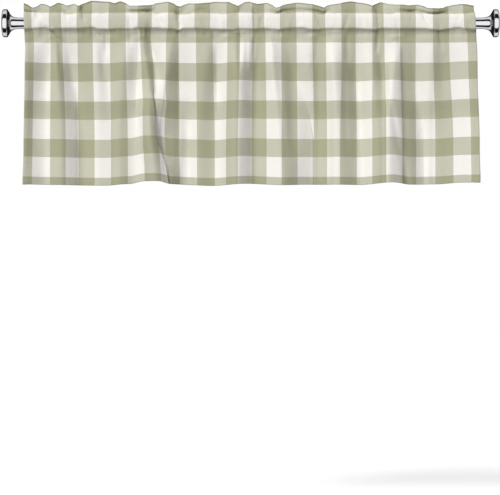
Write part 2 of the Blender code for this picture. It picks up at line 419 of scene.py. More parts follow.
# the pocket's shape, from the upper seam to the lower: out from under the rod, up
pocketFront = (
    (0.8, 27.4),
    (9.6, 24.8),
    (14.7, 16.4),
    (16.2, 3.5),
    (16.2, -8.0),
    (15.2, -13.0),
    (12.4, -17.5),
    (11.3, -21.5),
    (10.9, -25.5),
)
pocketBack = (
    (0.8, 27.4),
    (7.6, 18.8),
    (13.6, 7.5),
    (14.4, -4.0),
    (9.5, -14.5),
    (0.5, -20.5),
    (-9.8, -25.5),
)

# ruffle: hung place, height above the rod's axis, lean to the front and buckle in degrees
ruffles = (
    (-575, 51, 2, 0),
    (-568, 48, 4, 0),
    (-551, 39, 10, 10),
    (-544, 41, 8, 10),
    (-530, 50, 0, 0),
    (-517, 47, 2, 0),
    (-508, 42, 6, 0),
    (-502, 45, 4, 0),
    (-489, 52, -6, 0),
    (-478, 50, 0, 0),
    (-467, 45, 8, 0),
    (-448, 50, -4, 0),
    (-437, 44, 10, 10),
    (-425, 50, 0, 0),
    (-404, 57, -5, 0),
    (-362, 55, -2, 0),
    (-345, 51, 4, 0),
    (-331, 56, -4, 0),
    (-319, 52, 0, 0),
    (-307, 44, 4, 55),
    (-290, 44, 2, 72),
    (-262, 45, 2, 72),
    (-248, 47, 0, 40),
    (-240, 51, 0, 0),
    (-210, 55, -5, 0),
    (-197, 51, 2, 0),
    (-187, 44, 14, 20),
    (-179, 42, 12, 20),
    (-166, 48, 2, 0),
    (-156, 51, -4, 0),
    (-135, 50, 4, 20),
    (-110, 52, 0, 0),
    (-88, 55, -5, 0),
    (-55, 54, -2, 0),
    (-42, 48, 4, 0),
    (-32, 43, 12, 20),
    (-24, 48, 4, 0),
    (-14, 54, -4, 0),
    (-4, 55, -6, 0),
    (19, 49, 6, 10),
    (42, 52, -5, 0),
    (52, 47, 4, 40),
    (65, 39, 8, 60),
    (74, 41, 6, 62),
    (83, 46, 2, 60),
    (95, 49, 0, 55),
    (118, 52, 0, 50),
    (156, 48, 2, 60),
    (171, 44, 4, 68),
    (187, 39, 8, 70),
    (194, 44, 4, 30),
    (204, 47, 0, 0),
    (225, 50, -4, 0),
    (240, 54, -4, 0),
    (255, 56, -3, 0),
    (283, 52, -2, 0),
    (297, 49, 4, 0),
    (309, 44, 12, 20),
    (316, 48, 4, 0),
    (331, 54, -6, 0),
    (352, 49, 0, 0),
    (370, 47, 4, 10),
    (388, 47, 2, 55),
    (400, 45, 2, 72),
    (414, 46, 2, 66),
    (424, 47, 0, 40),
    (438, 43, 4, 70),
    (453, 36, 10, 78),
    (469, 36, 10, 78),
    (477, 32, 14, 78),
    (486, 37, 8, 55),
    (499, 43, 4, 20),
    (519, 47, 0, 0),
    (537, 49, -4, 0),
    (553, 48, 0, 0),
    (563, 45, 4, 0),
    (571, 44, 4, 0),
)

# hung place, how far the upper seam sags below its line
seamSags = (
    (-573, 0.0),
    (-545, 0.5),
    (-478, 0.5),
    (-460, 4.5),
    (-440, 1.0),
    (-405, 3.0),
    (-385, 2.5),
    (-360, 0.5),
    (-331, 1.5),
    (-300, 1.0),
    (-250, 0.5),
    (-238, 3.5),
    (-222, 0.5),
    (-200, 1.0),
    (-184, 5.0),
    (-160, 4.5),
    (-145, 1.5),
    (-120, 1.5),
    (-100, 3.0),
    (-85, 2.0),
    (-66, 3.5),
    (-45, 2.0),
    (0, 0.5),
    (10, 2.0),
    (40, 0.5),
    (65, 4.0),
    (80, 0.5),
    (130, 0.0),
    (165, 1.0),
    (185, 5.0),
    (197, 1.0),
    (212, 3.0),
    (226, 2.0),
    (256, 1.0),
    (310, 2.5),
    (330, 2.0),
    (355, 4.0),
    (380, 1.0),
    (405, 1.0),
    (425, 2.0),
    (465, 6.0),
    (490, 2.5),
    (520, 3.5),
    (545, 3.0),
    (573, 2.0),
)

# hung place, how much further along the cloth the pocket and ruffle are caught than the panel
pocketShifts = (
    (-580, 0),
    (-554, 5),
    (-511, 5),
    (-481, 4),
    (-440, 2),
    (-402, 3),
    (-359, 4),
    (-316, 0),
    (-284, 9),
    (-250, -3),
    (-212, -6),
    (-183, -2),
    (-141, 5),
    (-99, 8),
    (-60, 3),
    (-28, 4),
    (8, 0),
    (38, 5),
    (75, 4),
    (116, 2),
    (156, 0),
    (192, 3),
    (230, 0),
    (311, 0),
    (338, 3),
    (380, 0),
    (504, 1),
    (547, 9),
    (580, 4),
)

# hung place, how far the pocket's slack drops below its even line
pocketDrops = (
    (-573, 0.5),
    (-540, -0.5),
    (-520, -1.5),
    (-506, 2.5),
    (-494, 0.0),
    (-440, 0.0),
    (-404, -2.5),
    (-380, 1.5),
    (-360, 2.5),
    (-335, 0.5),
    (-300, 1.0),
    (-286, -1.0),
    (-250, -1.0),
    (-214, 0.5),
    (-196, 1.0),
    (-182, 5.0),
    (-172, 0.5),
    (-140, 0.0),
    (-100, 1.0),
    (-70, 2.5),
    (-46, 3.5),
    (-30, 0.5),
    (10, 1.5),
    (30, 0.0),
    (60, 1.5),
    (72, 3.0),
    (90, 0.5),
    (130, -1.5),
    (158, 2.0),
    (172, 3.0),
    (186, 0.5),
    (260, 0.0),
    (300, 1.5),
    (316, 3.0),
    (330, 0.0),
    (390, 0.5),
    (440, 0.5),
    (462, 2.0),
    (478, 4.5),
    (496, 2.0),
    (524, -2.0),
    (546, 0.5),
    (575, 1.0),
)

# height, how far the left edge and the right edge stand to the right of their fold lines
sideEdges = (
    (-415, 1.1, 0.6),
    (-400, 1.2, 0.8),
    (-322, 3.7, -1.3),
    (-195, 4.1, -1.3),
    (-73, 2.9, 2.0),
    (-20, 0.0, 0.0),
    (0, -1.2, -1.4),
    (44, -2.4, -5.4),
    (60, -2.4, -5.6),
)

# hung place, lift at the rod, lift at the hem
lifts = (
    (-580, 0, 0),
    (-440, -1, -2),
    (-370, -2, -3),
    (-310, 1, 1),
    (-270, 3, 8),
    (-235, 2, 8),
    (-200, 0, 1),
    (-100, -1, -3),
    (0, 1, 2),
    (80, 1, -2),
    (150, 0, 0),
    (280, 0, -1),
    (360, 1, 5),
    (410, 0, 0),
    (470, 0, 1),
    (540, 4, 5),
    (585, 5, 5),
)

# creases laid one by one: place at the top, place at the foot, top, foot, half width to the left and
# to the right, depth (a ridge is negative)
creases = (
    (-571, -546, 42, 24, 3.5, 3.5, -6.0),
    (-580, -557, 38, 18, 4, 4, 4.0),
    (-552, -533, 42, 12, 4, 5, 3.4),
    (-546, -534, 26, 4, 5, 6, 3.0),
    (-535, -538, 14, -14, 6, 6, -2.4),
    (-517, -489, -9, -44, 6, 6, 4.5),
    (-505, -476, -9, -44, 6, 6, -2.8),
    (-486, -480, -40, -120, 7, 7, 3.1),
    (-470, -466, 42, 6, 5, 5, 2.1),
    (-429, -422, 46, 6, 5, 5, 9.0),
    (-416, -402, -10, -34, 6, 6, -2.5),
    (-404, -380, -12, -38, 6, 6, 3.9),
    (-380, -374, -36, -150, 9, 9, 2.5),
    (-367, -366, -20, -84, 6, 6, 4.0),
    (-340, -334, 52, 28, 6, 6, 1.4),
    (-308, -304, 26, -60, 5, 5, 2.8),
    (-282, -287, 20, -12, 7, 7, -2.0),
    (-258, -252, 8, -110, 14, 9, 10.0),
    (-244, -222, 26, -6, 6, 6, 3.4),
    (-214, -212, 26, -16, 8, 8, -2.0),
    (-190, -178, 54, -14, 4.5, 4.0, 6.6),
    (-182, -185, -14, -380, 6, 6, 3.0),
    (-174, -168, -10, -34, 6, 6, -3.4),
    (-150, -138, 34, -4, 6, 6, 2.6),
    (-130, -118, 40, 29, 7, 7, 2.5),
    (-118, -112, 10, -40, 7, 7, 2.5),
    (-89, -84, -24, -220, 7, 7, 4.8),
    (-74, -70, 10, -20, 7, 7, -1.4),
    (-26, -28, -8, -130, 8, 6, 6.5),
    (-2, -2, -24, -130, 6, 6, -3.0),
    (-40, -34, 50, 14, 5, 5, 2.5),
    (-10, -6, 26, -10, 7, 7, -1.4),
    (8, 11, 54, -20, 4, 4, 4.5),
    (12, 6, -18, -100, 4.5, 4.5, 3.0),
    (30, 26, 20, -12, 6, 6, 2.0),
    (44, 62, -12, -48, 7, 7, 2.8),
    (52, 74, 46, 30, 5, 5, 2.8),
    (96, 92, 8, -36, 6, 6, -1.7),
    (118, 124, 24, -4, 8, 8, 1.7),
    (146, 142, -20, -46, 7, 7, 2.2),
    (160, 184, 34, -14, 6, 6, 2.8),
    (172, 160, -18, -120, 7, 7, 2.0),
    (206, 208, -12, -40, 6, 6, 2.0),
    (250, 236, 26, -26, 6, 6, 3.0),
    (262, 268, 50, 30, 6, 6, -1.7),
    (280, 286, 10, -36, 6, 6, 1.7),
    (320, 326, 46, -18, 4, 4, 5.6),
    (304, 308, 40, -12, 4, 4, -2.0),
    (324, 320, -16, -80, 5, 5, 4.6),
    (352, 362, 36, 22, 6, 6, 2.2),
    (372, 378, 10, -70, 7, 7, 2.2),
    (408, 410, 36, 4, 6, 6, 1.7),
    (432, 446, 36, 2, 5, 5, 2.8),
    (438, 458, 24, -8, 6, 6, 3.2),
    (476, 486, 8, -70, 6, 6, 3.9),
    (496, 508, 30, 20, 5, 5, 2.0),
    (516, 524, -6, -60, 8, 8, 1.7),
    (534, 528, 30, 6, 6, 6, 1.7),
    (552, 560, 4, -40, 7, 7, 1.7),
    # soft ones further down
    (-160, -157, -190, -409, 18, 12, 9.5),
    (-548, -552, -120, -380, 16, 16, 2.5),
    (-500, -506, -90, -390, 10, 10, -2.0),
    (-440, -438, -150, -409, 5, 9, 2.6),
    (-523, -524, -60, -409, 34, 12, 3.0),
    (-404, -398, -60, -300, 12, 12, 1.7),
    (-352, -344, -160, -409, 9, 9, 2.0),
    (-296, -270, -110, -409, 8, 8, 3.1),
    (-266, -246, -170, -409, 26, 20, -18.0),
    (-237, -207, -235, -409, 12, 30, 11.0),
    (-150, -156, -110, -409, 14, 14, 2.2),
    (-76, -70, -150, -409, 12, 12, 1.7),
    (-20, -18, -70, -300, 9, 9, -1.7),
    (36, 30, -120, -409, 12, 12, 2.0),
    (6, 3, -90, -409, 8, 16, 3.0),
    (66, 92, -90, -380, 8, 8, 2.8),
    (201, 200, -110, -409, 9, 9, 4.0),
    (236, 244, -90, -350, 8, 8, 2.0),
    (290, 300, -120, -409, 13, 13, -2.0),
    (104, 106, -70, -360, 16, 16, 5.5),
    (50, 58, -14, -110, 6, 14, -4.5),
    (243, 247, -16, -110, 8, 8, 5.0),
    (385, 394, -14, -409, 7, 14, 5.0),
    (339, 342, -60, -409, 10, 6, 3.0),
    (318, 400, -60, -409, 10, 8, 3.6),
    (274, 278, -90, -340, 18, 10, 4.0),
    (398, 462, -100, -409, 28, 22, 6.0),
    (462, 470, -150, -409, 9, 9, 2.2),
    (506, 516, -80, -409, 14, 14, -2.0),
    (548, 552, -180, -409, 10, 10, 2.0),
)
lines = np.array(foldLines, float)
rollingLine = 8  # which of the fold lines rolls


def foldRow(height):  # the fold lines' cloth and hung places at a height
    down = (valance["lowerSeam"] - height) / (valance["lowerSeam"] - valance["hemEdge"])
    drift = smooth(down / valance["foldDrift"])
    cloth, hung = mix(lines[:, 0], lines[:, 2], drift), mix(lines[:, 1], lines[:, 3], drift)
    at = np.array([min(float(height), rollingFold[0][0])])
    for line, column in ((rollingLine, 1), (rollingLine + 1, 3), (rollingLine + 2, 5)):
        cloth[line] = readTable(rollingFold, at, column, 0.5)[0]
        hung[line] = readTable(rollingFold, at, column + 1, 0.5)[0]
    overhang, drop, nextDrop = (readTable(rollingFold, at, column, 0.5)[0] for column in (7, 8, 9))
    flat, shown = np.diff(cloth), np.diff(hung)
    step = valance["depthShare"] * np.sqrt(np.maximum(0.0, flat**2 - shown**2))
    step[1::2] *= -1
    for line, (atRod, atHem) in foldShares.items():
        step[line] *= mix(atRod, atHem, drift)
    step[rollingLine : rollingLine + 2] = drop, nextDrop
    return {"cloth": cloth, "hung": hung, "step": step, "overhang": float(overhang)}


def foldDepths(height):
    fold = foldRow(height)
    hung = fold["hung"]
    depths = np.concatenate([[0.0], np.cumsum(fold["step"])])
    places = np.linspace(hung[0], hung[-1], valance["plumbPlaces"])
    weights = np.exp(-(((hung[:, None] - places) / valance["plumbReach"]) ** 2))
    near = weights @ np.interp(places, hung, depths) / weights.sum(axis=1)
    plumb = depths - valance["plumbShare"] * near
    return plumb - (plumb.max() + plumb.min()) / 2


def clothColumns():
    index, share = [], []
    widest = np.maximum(np.diff(lines[:, 0]), np.diff(lines[:, 2]))
    for i, flat in enumerate(widest):
        steps = max(valance["leastColumns"], round(flat / valance["columnPitch"]))
        if i == rollingLine:
            steps *= 2
        index += [i] * steps
        share += [step / steps for step in range(steps)]
    return np.array(index + [len(lines) - 2]), np.array(share + [1.0])


columnIndex, columnShare = clothColumns()
columnRuck = smooth(np.where(columnIndex % 2, columnShare, 1.0 - columnShare))  # 1 on a crest
columnFlat = mix(lines[columnIndex, 0], lines[columnIndex + 1, 0], columnShare)
columnEase = 1.0 - np.array([evenFlanks.get(i, 0.0) for i in columnIndex])
columnRoll = np.where(columnIndex == rollingLine, np.sin(2.0 * np.pi * columnShare), 0.0)


def sway(middle, swing, length, start=0.0):  # a measure that wanders along the cloth
    return middle + swing * np.sin(columnFlat / length + start)


def hungPlaces(height):
    fold = foldRow(height)
    hung = fold["hung"]
    return mix(hung[columnIndex], hung[columnIndex + 1], columnShare) + fold["overhang"] * columnRoll


def relief(height):  # how far each column lies back
    depths = foldDepths(height)
    eased = mix(columnShare, smooth(columnShare), columnEase)
    depth = mix(depths[columnIndex], depths[columnIndex + 1], eased)
    for turn in range(valance["crestRounding"]):
        depth[1:-1] = (depth[:-2] + 2.0 * depth[1:-1] + depth[2:]) / 4.0
    return depth


def clothPlaces(height):  # along the flat cloth, more of it where a flank is steep
    fold = foldRow(height)
    cloth, hung = fold["cloth"], fold["hung"]
    fine = np.linspace(0.0, 1.0, valance["paceSteps"])
    roll = fold["overhang"] * 2.0 * np.pi * np.cos(2.0 * np.pi * fine)
    places = np.empty(len(columnIndex))
    for i, step in enumerate(fold["step"]):
        sideways = hung[i + 1] - hung[i] + (roll if i == rollingLine else 0.0)
        inward = step * mix(6.0 * fine * (1.0 - fine), 1.0, evenFlanks.get(i, 0.0))
        pace = np.sqrt(sideways**2 + inward**2)
        walked = np.concatenate([[0.0], np.cumsum((pace[1:] + pace[:-1]) / 2)])
        mine = columnIndex == i
        along = np.interp(columnShare[mine], fine, walked / walked[-1])
        places[mine] = mix(cloth[i], cloth[i + 1], along)
    return places


def creaseDepth(x, height):
    depth = np.zeros(len(x))
    margin = valance["creaseMargin"]
    leastFade, mostFade, fadeShare = valance["creaseFade"]
    for top, foot, high, low, leftWidth, rightWidth, deep in creases:
        if not low - 2 * margin < height < high + 2 * margin:
            continue
        down = (high - height) / (high - low)
        fade = min(mostFade, max(leastFade, fadeShare * (high - low)))
        ends = smooth((high + margin - height) / fade)
        if low > valance["hemEdge"]:
            ends = ends * smooth((height - low + margin) / fade)
        away = x - mix(top, foot, down)
        depth += deep * ends * np.exp(-((away / np.where(away < 0.0, leftWidth, rightWidth)) ** 2))
    return depth


def keepEdges(x, height):  # the two sides don't fall quite straight
    left, right = (readTable(sideEdges, np.array([float(height)]), column) for column in (1, 2))
    reach = valance["edgeReach"]
    return x + left * np.exp(-(x - x[0]) / reach) + right * np.exp(-(x[-1] - x) / reach)


def puckers(height):  # small gathers at both seams of the pocket, in the cloth's own places
    wave = 0.0
    for length, bunching, bunchLength, start in valance["puckerWaves"]:
        wave = wave + sway(0.0, 0.5, length, sway(0.0, bunching, bunchLength, start))
    patch = sway(*valance["puckerPatches"], sway(*valance["puckerDrift"]))
    strength = 0.0
    for seam, up, reach, strongest in valance["puckerSeams"]:
        strength += strongest * math.exp(-(((height - valance[seam] - up) / reach) ** 2))
    return wave * patch * strength


def panelRow(height, length=None, back=0.0):
    low = valance["lowerSeam"]
    down = (low - height) / (low - valance["hemEdge"])
    opening = smooth(down / valance["foldOpening"])
    x = hungPlaces(height)
    y = relief(height) * mix(valance["headingShare"], 1.0, opening) + back
    y = y - valance["seamForward"] * (1.0 - smooth((low - height) / valance["seamFade"]))
    # the cloth puffs out unevenly below the seam
    under = np.clip((low - height) / sway(*valance["puffHeight"]), 0.0, 1.0)
    tongues = sway(*valance["puffTongues"]) * sway(*valance["puffPatches"])
    even, tongue = valance["puffDepth"]
    y = y - (even + tongue * tongues) * np.sin(np.pi * under) ** 2
    y = y + creaseDepth(x, height) + puckers(height)
    lift = mix(readTable(lifts, x, 1), readTable(lifts, x, 2), smooth(down)) * opening
    if length is None:
        gathered = valance["takeUp"] * smooth((low - height) / valance["takeUpHeight"])
        length = valance["pocketLength"] + low - height + float(gathered)
    return keepEdges(x, height), y, height + lift, clothPlaces(height), length


def pocketRows(profile, count, side, start):  # upper seam to lower, in front (side -1) or behind (1)
    section = easedLine(profile, valance["pocketSteps"])
    walked = np.concatenate([[0.0], np.cumsum(np.linalg.norm(np.diff(section, axis=0), axis=1))])
    x = hungPlaces(0.0)
    edge = np.minimum(x - x[0], x[-1] - x)
    mouth = valance["mouthPush"] * (1.0 - smooth(edge / valance["mouthDepth"]))
    ruck = valance["pocketRuck"] * (columnRuck if side < 0 else 1.0 - columnRuck)
    shifts, sags, drops = (readTable(table, x, 1) for table in (pocketShifts, seamSags, pocketDrops))
    dropMiddle, dropReach = valance["dropPlace"]
    heading = valance["headingShare"] * relief(0.0)
    rows = []
    for share in np.linspace(0.0, 1.0, count):
        out, up = (np.interp(share * walked[-1], walked, section[:, axis]) for axis in (0, 1))
        grip = 1.0 - float(smooth(min(share, 1.0 - share) / valance["seamGrip"]))
        slack = (ruck + mouth) * (1.0 - grip)
        tuckShare = 1.0 if side < 0 else mix(valance["backTucks"], 1.0, grip)
        tucks = (creaseDepth(x, up) + puckers(up)) * tuckShare
        y = side * (out + slack) + tucks + grip * heading
        z = up + slack * up / valance["ruckHeight"] - sags * (1.0 - smooth(share / valance["sagShare"]))
        if side < 0:
            z = z - drops * math.exp(-(((share - dropMiddle) / dropReach) ** 2))
        clear = np.maximum(1.0, valance["pocketLeast"] / np.hypot(y, z))
        places = clothPlaces(0.0) + shifts * smooth((1.0 - share) / valance["shiftShare"])
        length = start - side * valance["pocketLength"] * share
        rows.append((keepEdges(x, up), y * clear, z * clear, places, length))
    return rows


def rufflePath(steps):  # forward, up and heading of the ruffle's middle at each step of its length
    x = hungPlaces(0.0)
    walked = np.linspace(0.0, valance["ruffleLength"], steps)[:, None]
    lean = np.radians(readTable(ruffles, x, 2)) * smooth(walked / valance["ruffleLean"])
    buckle = np.radians(readTable(ruffles, x, 3, 0.5))
    fromBuckle = (walked - valance["buckleHeight"]) / valance["buckleReach"]
    heading = lean + buckle * np.exp(-(fromBuckle**2))
    pitch = valance["ruffleLength"] / (steps - 1)
    middle = (heading[1:] + heading[:-1]) / 2
    start = np.zeros((1, len(x)))
    forward = np.concatenate([start, np.cumsum(np.sin(middle), axis=0)]) * pitch
    up = np.concatenate([start, np.cumsum(np.cos(middle), axis=0)]) * pitch
    crown = np.maximum(up.max(axis=0), valance["ruffleLeast"])
    rise = readTable(ruffles, x, 1, 0.5) - valance["upperSeam"]
    rise = rise - (valance["layerGap"] + valance["thickness"]) / 2
    squash = np.clip(rise / crown, *valance["ruffleSquash"])
    return x, forward, up * squash, np.arctan2(np.sin(heading), squash * np.cos(heading))


def ruffleRows(steps):
    x, forward, up, heading = rufflePath(steps)
    front, back = [], []
    share = np.linspace(0.0, 1.0, steps)
    places = clothPlaces(0.0) + readTable(pocketShifts, x, 1)
    sags = readTable(seamSags, x, 1)
    folds = valance["headingShare"] * relief(0.0)
    overTop = -2 * valance["ruffleLength"] - valance["ruffleFold"]
    for step in range(steps):
        z = valance["upperSeam"] + up[step] - sags * (1.0 - share[step])
        height = valance["upperSeam"] + valance["ruffleHeight"] * share[step]
        y = folds - forward[step] + creaseDepth(x, height) + puckers(height)
        across = keepEdges(x, float(np.mean(z)))
        half = (valance["layerGap"] + valance["rufflePuff"] * math.sin(math.pi * share[step])) / 2
        length = -valance["ruffleLength"] * share[step]
        for rows, deep, down in ((front, -half, length), (back, half, overTop - length)):
            turned = y + deep * np.cos(heading[step]), z + deep * np.sin(heading[step])
            rows.append((across, *turned, places, down))
    fold, tip = [], valance["layerGap"] / 2
    turn, turnCloth = valance["ruffleTurn"]
    for angle in (-turn, 0.0, turn):  # round the ruffle's edge, front to back
        swing = heading[-1] - math.radians(angle)
        over = overTop / 2 - turnCloth * math.sin(math.radians(angle))
        fold.append((across, y - tip * np.sin(swing), z + tip * np.cos(swing), places, over))
    return front[1:], fold, back[::-1][:-1]


def layCloth():  # rows in the cloth's order: across, back, up, along the cloth, down the cloth
    low, hem, turnUp, gap = (valance[name] for name in ("lowerSeam", "hemEdge", "hemHeight", "hemGap"))
    atHem = valance["pocketLength"] + low - hem + valance["takeUp"]
    tuckDrop, tuckCloth = valance["hemTuck"]
    hemRows = [(turnUp - tuckDrop, turnUp + tuckCloth, 0.5)]
    hemRows += [(height, height, 1.0) for height in np.linspace(turnUp, *valance["hemBackRows"])]
    hemRows += valance["hemTurn"]
    rows = [panelRow(hem + up, atHem + further, share * gap) for up, further, share in hemRows]
    lowest, overHem, hemCount = valance["hemRows"]
    fromHem, toSeam, panelCount = valance["panelRows"]
    fromSeam, nearSeam, topCount = valance["topRows"]
    heights = [
        *np.linspace(hem + lowest, hem + overHem, hemCount),
        *np.linspace(hem + fromHem, low - toSeam, panelCount),
        *np.linspace(low - fromSeam, low - nearSeam, topCount),
    ]
    rows += [panelRow(height) for height in heights]
    marks = dict(zip(("hem", "hemBack"), valance["hemSeamRows"]))
    marks.update(panelTop=len(rows) - 1, lowerFront=len(rows))
    frontCount, backCount = valance["pocketRows"]
    rows += pocketRows(pocketFront, frontCount, -1, 0.0)[::-1]
    marks["upperFront"] = len(rows) - 1
    front, fold, back = ruffleRows(valance["ruffleRows"])
    rows += front + fold + back
    marks["upperBack"] = len(rows)
    overTop = -2 * valance["ruffleLength"] - valance["ruffleFold"]
    rows += pocketRows(pocketBack, backCount, 1, overTop)
    marks["lowerBack"] = len(rows) - 1
    atTail = overTop - valance["pocketLength"]
    rows += [panelRow(low - drop, atTail - drop, valance["layerGap"]) for drop in valance["tailDrops"]]
    spread = np.array([[np.broadcast_to(part, len(columnIndex)) for part in row] for row in rows])
    return spread.transpose(0, 2, 1), marks


def clothNormals(points):  # outward, which is to the front on the front
    along = np.gradient(points, axis=1)
    down = np.gradient(points, axis=0)
    outward = np.cross(along, down)
    return outward / np.linalg.norm(outward, axis=2, keepdims=True)


clothRows, clothMarks = layCloth()
clothPoints = clothRows[:, :, :3] * mm
clothFacing = clothNormals(clothPoints)


def buildCloth():
    rowCount, columnCount = clothPoints.shape[:2]
    sheet = bmesh.new()
    bmesh.ops.create_grid(sheet, x_segments=columnCount - 1, y_segments=rowCount - 1, size=1.0)
    sheet.verts.index_update()
    mesh = bpy.data.meshes.new("valanceCloth")
    sheet.to_mesh(mesh)
    sheet.free()
    flat = np.empty(len(mesh.vertices) * 3)
    mesh.vertices.foreach_get("co", flat)
    flat = flat.reshape(-1, 3).round(6)
    order = np.lexsort((flat[:, 0], flat[:, 1]))
    placed = np.empty_like(flat)
    placed[order] = clothPoints.reshape(-1, 3)
    mesh.vertices.foreach_set("co", placed.ravel())
    cut = np.empty((len(order), 2))
    cut[order] = clothRows[:, :, 3:].reshape(-1, 2) * mm
    corners = np.empty(len(mesh.loops), int)
    mesh.loops.foreach_get("vertex_index", corners)
    mesh.uv_layers.new(name="cutCloth").data.foreach_set("uv", cut[corners].ravel())
    mesh.shade_smooth()
    mesh.update()
    cloth = linkObject("valanceCloth", mesh)
    fromSide = np.minimum(columnFlat, lines[-1, 0] - columnFlat)
    sides = order.reshape(rowCount, columnCount)[:, fromSide < valance["sideHem"]]
    cloth.vertex_groups.new(name="sideHems").add(sides.ravel().tolist(), 1.0, "REPLACE")
    solidify = cloth.modifiers.new("thickness", "SOLIDIFY")
    solidify.thickness = valance["hemThickness"] * mm
    solidify.offset = 0.0
    solidify.vertex_group = "sideHems"
    solidify.thickness_vertex_group = valance["thickness"] / valance["hemThickness"]
    return cloth


# cotton in a plain weave, checked by bands of dyed and undyed yarn both ways
cotton = {
    "repeat": (96.52, 96.3),  # across, down
    "paleShare": (0.512, 0.523),
    "firstPale": (24.1, 0.0),  # where the first pale band starts
    "yarnPitch": 0.55,
    "palePale": (0.862, 0.848, 0.81, 1.0),
    "paleDyed": (0.54, 0.542, 0.442, 1.0),
    "dyedDyed": (0.378, 0.379, 0.26, 1.0),
    "wobble": 1.2,  # of the bands' edges, from side to side
    "yarnGapShade": 0.045,  # painted shade between the yarns
    "slubTone": (0.12, -0.075),  # how much of the unevenness, and what is added to it
    "fadeTone": (0.05, -0.025),
    "headingMiddle": 22.0,  # down the cloth, where it is closely gathered over the rod
    "headingPeak": (48.0, 3.0),  # half width and peak, as peakNode takes them
    "headingShade": 0.045,  # how much darker the painted shade makes it
    # painted shade lines: how full their middles are, and how patchy they are
    "shadeLinePeak": 1.6,
    "shadeLinePatches": (1.6, -0.1),
    "yarnHeights": (0.8, 0.4),  # of thick places and of fuzz, in yarns
    "rumpleBump": (0.5, 0.0012),  # strength, height in metres
    "gatherBump": (1.0, 0.0024),
    "yarnBump": (0.35, 0.00012),
    "roughness": 0.88,
    "specular": 0.25,
    "sheen": 0.12,
    "sheenRoughness": 0.5,
}

# repeats a metre of the cotton's unevenness, along and down the cloth
unevenness = {
    "wobble": (35.0, 35.0, 1.0),
    "warpSlub": (1500.0, 22.0, 1.0),
    "weftSlub": (22.0, 1500.0, 1.0),
    "fade": (9.0, 9.0, 1.0),
    "fuzz": (2600.0, 2600.0, 1.0),
    "rumple": (60.0, 26.0, 1.0),
    "gathers": (48.0, 26.0, 1.0),
}

# painted shade along the folds and seams: place down the cloth, half width, how much darker,
# how many patches a metre
paintedShadeLines = (
    (-31.2, 4.6, 0.66, 14.0),  # turned over at the top of the ruffle
    (1.5, 3.4, 0.16, 22.0),  # under the upper seam
    (57.0, 8.0, 0.13, 13.0),  # above the lower seam
    (439.8, 1.5, 0.10, 9.0),  # over the hem's raw edge
    (448.3, 1.5, 0.08, 9.0),  # within the hem
)


def paleBand(tree, place, way):  # 1 in a band of undyed yarn, 0 in a dyed one
    repeat, pale = cotton["repeat"][way], cotton["paleShare"][way]
    shifted = mathNode(tree, "SUBTRACT", place, cotton["firstPale"][way] * mm)
    share = mathNode(tree, "FLOORED_MODULO", mathNode(tree, "DIVIDE", shifted, repeat * mm), 1.0)
    middle = mathNode(tree, "ABSOLUTE", mathNode(tree, "SUBTRACT", share, pale / 2))
    wrapped = mathNode(tree, "MINIMUM", middle, mathNode(tree, "SUBTRACT", 1.0, middle))
    inside = mathNode(tree, "SUBTRACT", pale / 2, wrapped)
    edge = cotton["yarnPitch"] / repeat
    band = mathNode(tree, "MULTIPLY_ADD", inside, 1.0 / edge, 0.5)
    band.node.use_clamp = True
    return band


# 1 in the middle and nothing past the half width; the higher the peak, the more of it is full
def peakNode(tree, place, middle, halfWidth, peak):
    off = mathNode(tree, "ABSOLUTE", mathNode(tree, "SUBTRACT", place, middle * mm))
    rise = mathNode(tree, "MULTIPLY_ADD", off, -peak / (halfWidth * mm), peak)
    rise.node.use_clamp = True
    return rise


